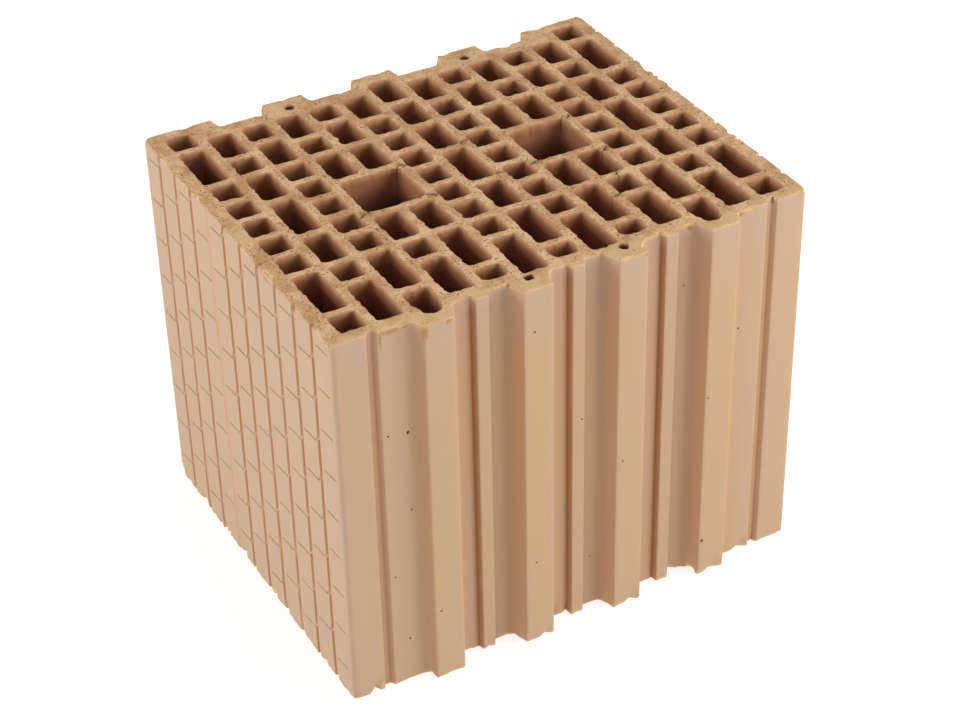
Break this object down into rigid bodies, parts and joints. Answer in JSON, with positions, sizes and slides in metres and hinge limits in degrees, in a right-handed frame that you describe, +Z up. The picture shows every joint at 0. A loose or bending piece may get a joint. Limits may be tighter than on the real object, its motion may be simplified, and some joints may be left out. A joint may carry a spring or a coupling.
{
  "type": "hollow clay block",
  "caption": "Perforated fired-clay wall block with through cells, hand holes, tongue-and-groove head faces, keyed plaster faces and ground bed faces.",
  "frame": {"origin": "centre of the block's box at the level of its lower bed face", "axes": "+Z up along the cells, +X across the wall from plaster face to plaster face, +Y along the wall from the tongued head face to the grooved one"},
  "size_m": [0.3, 0.2558, 0.249],
  "materials": {
    "fired_clay": "matt, porous, unglazed fired clay"
  },
  "bodies": {
    "root": {"clay_block": "fired_clay"}
  },
  "joints": []
}
